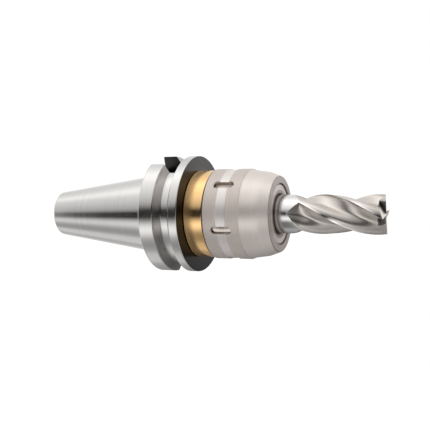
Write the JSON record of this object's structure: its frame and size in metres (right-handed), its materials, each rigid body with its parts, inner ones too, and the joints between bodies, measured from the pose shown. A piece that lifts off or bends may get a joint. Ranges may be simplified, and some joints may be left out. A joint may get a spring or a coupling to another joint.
{
  "type": "milling chuck",
  "caption": "Roller-lock milling chuck on a steep-taper shank, with a slotted clamping nut and a helical end mill held in its bore.",
  "frame": {"origin": "centre of the taper's small end face, on which the chuck stands", "axes": "+Z along the tool axis towards the cutter, -X and +X out through the two drive slots"},
  "size_m": [0.1, 0.1, 0.2988],
  "materials": {
    "chuck_steel": "ground steel, fine turning lines",
    "ring_brass": "polished",
    "nut_nickel": "blasted nickel, satin cone",
    "mill_steel": "ground and polished",
    "cage_bronze": "machined bronze",
    "roller_steel": "lapped",
    "spring_steel": "oiled spring steel",
    "screw_steel": "blackened steel",
    "seal_rubber": "moulded rubber"
  },
  "bodies": {
    "chuck": {"chuck_body": "chuck_steel", "backing_ring": "ring_brass", "rear_seal_ring": "seal_rubber", "stop_ring": "spring_steel", "end_mill": "mill_steel"},
    "nut_slide": {"nose_seal": "seal_rubber"},
    "nut": {"clamp_nut": "nut_nickel", "keeper_ring": "spring_steel"},
    "cage": {"roller_cage": "cage_bronze", "roller_1_01": "roller_steel", "roller_1_02": "roller_steel", "roller_1_03": "roller_steel", "roller_1_04": "roller_steel", "roller_1_05": "roller_steel", "roller_1_06": "roller_steel", "roller_1_07": "roller_steel", "roller_1_08": "roller_steel", "roller_1_09": "roller_steel", "roller_1_10": "roller_steel", "roller_1_11": "roller_steel", "roller_1_12": "roller_steel", "roller_1_13": "roller_steel", "roller_1_14": "roller_steel", "roller_1_15": "roller_steel", "roller_1_16": "roller_steel", "roller_2_01": "roller_steel", "roller_2_02": "roller_steel", "roller_2_03": "roller_steel", "roller_2_04": "roller_steel", "roller_2_05": "roller_steel", "roller_2_06": "roller_steel", "roller_2_07": "roller_steel", "roller_2_08": "roller_steel", "roller_2_09": "roller_steel", "roller_2_10": "roller_steel", "roller_2_11": "roller_steel", "roller_2_12": "roller_steel", "roller_2_13": "roller_steel", "roller_2_14": "roller_steel", "roller_2_15": "roller_steel", "roller_2_16": "roller_steel"},
    "screw_slide": {"screw_seal_ring": "seal_rubber"},
    "screw": {"preset_screw": "screw_steel"}
  },
  "joints": [
    {"name": "nut_travel", "type": "slide", "parent": "chuck", "child": "nut_slide", "axis": [0, 0, 1], "range_m": [0, 0.0024]},
    {"name": "nut_turn", "type": "hinge", "parent": "nut_slide", "child": "nut", "pos_m": [0, 0, 0.18], "axis": [0, 0, 1], "range_deg": [0, 450]},
    {"name": "cage_turn", "type": "hinge", "parent": "nut_slide", "child": "cage", "pos_m": [0, 0, 0.18], "axis": [0, 0, 1], "range_deg": [0, 239]},
    {"name": "screw_travel", "type": "slide", "parent": "chuck", "child": "screw_slide", "axis": [0, 0, -1], "range_m": [0, 0.01]},
    {"name": "screw_turn", "type": "hinge", "parent": "screw_slide", "child": "screw", "pos_m": [0, 0, 0.11], "axis": [0, 0, -1], "range_deg": [0, 1800]}
  ],
  "couplings": [
    {"joint": "nut_travel", "follows": "nut_turn", "m_per_rad": 0.0003055},
    {"joint": "cage_turn", "follows": "nut_turn", "ratio": 0.53},
    {"joint": "screw_travel", "follows": "screw_turn", "m_per_rad": 0.0003183}
  ]
}
